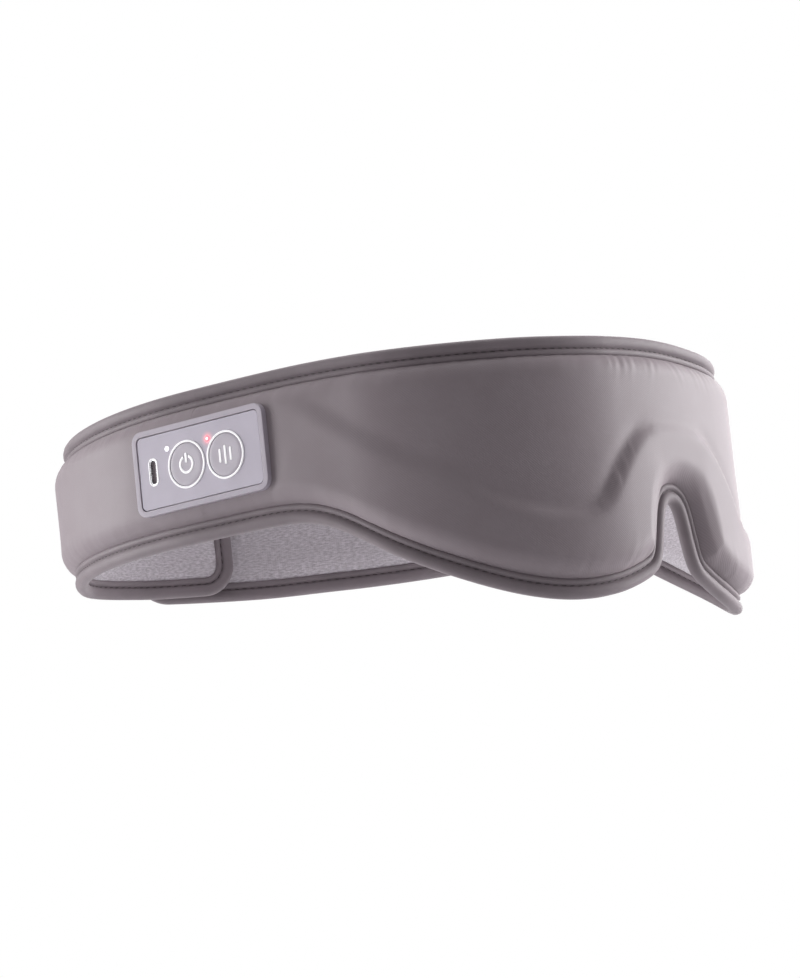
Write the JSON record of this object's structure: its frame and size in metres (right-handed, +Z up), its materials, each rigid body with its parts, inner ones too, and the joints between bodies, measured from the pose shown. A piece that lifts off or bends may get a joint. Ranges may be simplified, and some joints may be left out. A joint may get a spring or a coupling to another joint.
{
  "type": "eye massager mask",
  "caption": "Padded ring-shaped eye massager mask with nose notch, overlapping hook-and-loop straps and a control box with press buttons on the right temple.",
  "frame": {"origin": "middle of the footprint on the plane under the cheek lobes", "axes": "+Z up, the wearer faces -Y, the control box is on the wearer's right at -X"},
  "size_m": [0.1828, 0.2589, 0.094],
  "materials": {
    "cover_fabric": "satin twill",
    "lining_fabric": "heather jersey",
    "foam": "soft foam",
    "binding_fabric": "satin binding tape",
    "film": "polyimide film",
    "motor_steel": "plated can",
    "case_plastic": "satin moulding",
    "white_plastic": "white print",
    "red_light": "lit lens",
    "cream_plastic": "moulded",
    "board": "solder mask",
    "plated_steel": "plated",
    "black_plastic": "moulded",
    "cell_foil": "pouch foil",
    "tape_fabric": "hook and loop"
  },
  "bodies": {
    "mask": {"front_cover": "cover_fabric", "front_foam": "foam", "front_lining": "lining_fabric", "front_top_binding": "binding_fabric", "front_bottom_binding": "binding_fabric", "heating_film_right": "film", "heating_film_left": "film", "bridge_cable": "film", "temple_cable": "film", "temperature_sensor": "black_plastic", "motor_right_outer": "motor_steel", "motor_right_inner": "motor_steel", "motor_left_inner": "motor_steel", "motor_left_outer": "motor_steel", "controller_base": "case_plastic", "controller_bezel": "case_plastic", "face_plate": "case_plastic", "power_ring": "white_plastic", "mode_ring": "white_plastic", "charge_light": "white_plastic", "mode_light": "red_light", "charge_light_chip": "cream_plastic", "mode_light_chip": "cream_plastic", "circuit_board": "board", "board_screws": "plated_steel", "power_switch": "black_plastic", "mode_switch": "black_plastic", "usb_c_shell": "plated_steel", "usb_c_tongue": "black_plastic", "battery_cell": "cell_foil", "control_chip": "black_plastic", "cable_plug": "cream_plastic"},
    "right_strap": {"right_strap_cover": "cover_fabric", "right_strap_foam": "foam", "right_strap_lining": "lining_fabric", "right_strap_binding": "binding_fabric", "hook_tape": "tape_fabric"},
    "left_strap": {"left_strap_cover": "cover_fabric", "left_strap_foam": "foam", "left_strap_lining": "lining_fabric", "left_strap_binding": "binding_fabric", "loop_tape": "tape_fabric"},
    "power_key": {"power_button": "case_plastic", "power_mark": "white_plastic", "power_plunger": "cream_plastic"},
    "mode_key": {"mode_button": "case_plastic", "mode_mark": "white_plastic", "mode_plunger": "cream_plastic"}
  },
  "joints": [
    {"name": "left_strap_bend", "type": "hinge", "parent": "mask", "child": "left_strap", "pos_m": [0.08382, 0.05511, 0.067], "axis": [0, 0, -1], "range_deg": [0, 75]},
    {"name": "right_strap_bend", "type": "hinge", "parent": "mask", "child": "right_strap", "pos_m": [-0.07212, 0.05162, 0.067], "axis": [0, 0, -1], "range_deg": [0, 40]},
    {"name": "power_press", "type": "slide", "parent": "mask", "child": "power_key", "axis": [0.9991, -0.043, 0], "range_m": [0, 0.00035], "stiffness_N_per_m": 2000},
    {"name": "mode_press", "type": "slide", "parent": "mask", "child": "mode_key", "axis": [0.9991, -0.043, 0], "range_m": [0, 0.00035], "stiffness_N_per_m": 2000}
  ]
}
